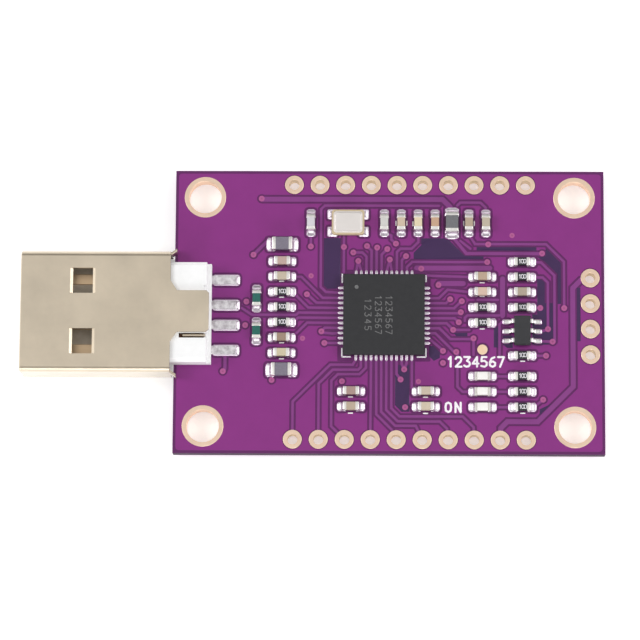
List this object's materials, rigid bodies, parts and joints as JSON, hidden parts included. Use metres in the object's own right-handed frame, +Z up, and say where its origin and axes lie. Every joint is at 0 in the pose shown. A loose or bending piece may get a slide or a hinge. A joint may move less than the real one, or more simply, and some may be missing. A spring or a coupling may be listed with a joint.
{
  "type": "usb to serial adapter module",
  "caption": "Flat circuit board with a USB-A plug at one end, a square bridge chip, small chip parts and three rows of plated header holes, for turning USB into serial lines",
  "frame": {"origin": "centre of the rectangle of the four mounting holes, on the underside of the board", "axes": "+X along the board away from the plug, +Y across the board, +Z up out of the side that carries the parts"},
  "size_m": [0.0573, 0.0282, 0.0045],
  "materials": {
    "laminate": "purple solder mask over copper and glass laminate, semi-gloss",
    "gold_plate": "thin gold plating, satin",
    "ink": "matt white printing ink",
    "plug_steel": "satin nickel plated steel",
    "white_moulding": "white moulded plastic",
    "tinned_copper": "bright tin plating",
    "chip_moulding": "matt dark grey moulding compound",
    "crystal_ceramic": "cream ceramic",
    "crystal_metal": "satin metal lid",
    "ferrite_ceramic": "dark grey ferrite with tinned ends",
    "capacitor_ceramic": "tan ceramic with tinned ends",
    "resistor_ceramic": "black glazed film on ceramic with tinned ends",
    "protector_ceramic": "green glazed ceramic with tinned ends",
    "led_resin": "milky clear resin",
    "solder": "bright reflowed solder"
  },
  "bodies": {
    "root": {"board": "laminate", "mounting_hole_rings": "gold_plate", "header_rings_far": "gold_plate", "header_rings_near": "gold_plate", "header_rings_side": "gold_plate", "test_pad": "gold_plate", "ink_marks": "ink", "plug_shell": "plug_steel", "plug_insulator": "white_moulding", "plug_contacts": "tinned_copper", "main_chip_body": "chip_moulding", "main_chip_terminals": "tinned_copper", "main_chip_thermal_pad": "tinned_copper", "memory_chip_body": "chip_moulding", "memory_chip_leads": "tinned_copper", "crystal_base": "crystal_ceramic", "crystal_lid": "crystal_metal", "ferrite_left_far": "ferrite_ceramic", "capacitor_left_1": "capacitor_ceramic", "capacitor_left_2": "capacitor_ceramic", "resistor_left_1": "resistor_ceramic", "resistor_left_2": "resistor_ceramic", "resistor_left_3": "resistor_ceramic", "capacitor_left_3": "capacitor_ceramic", "capacitor_left_4": "capacitor_ceramic", "ferrite_left_near": "ferrite_ceramic", "protector_data_1": "protector_ceramic", "protector_data_2": "protector_ceramic", "capacitor_row_1": "capacitor_ceramic", "capacitor_row_2": "capacitor_ceramic", "capacitor_row_3": "capacitor_ceramic", "capacitor_row_4": "capacitor_ceramic", "capacitor_row_5": "capacitor_ceramic", "ferrite_row": "ferrite_ceramic", "capacitor_row_6": "capacitor_ceramic", "capacitor_row_7": "capacitor_ceramic", "capacitor_inner_1": "capacitor_ceramic", "capacitor_inner_2": "capacitor_ceramic", "resistor_inner_1": "resistor_ceramic", "resistor_inner_2": "resistor_ceramic", "led_1": "led_resin", "led_2": "led_resin", "led_3": "led_resin", "resistor_outer_1": "resistor_ceramic", "resistor_outer_2": "resistor_ceramic", "capacitor_outer_1": "capacitor_ceramic", "resistor_outer_3": "resistor_ceramic", "resistor_outer_4": "resistor_ceramic", "resistor_led_1": "resistor_ceramic", "resistor_led_2": "resistor_ceramic", "resistor_led_3": "resistor_ceramic", "capacitor_near_1": "capacitor_ceramic", "capacitor_near_2": "capacitor_ceramic", "capacitor_near_3": "capacitor_ceramic", "capacitor_near_4": "capacitor_ceramic", "solder_left": "solder", "solder_row": "solder", "solder_right": "solder", "solder_main": "solder"}
  },
  "joints": []
}
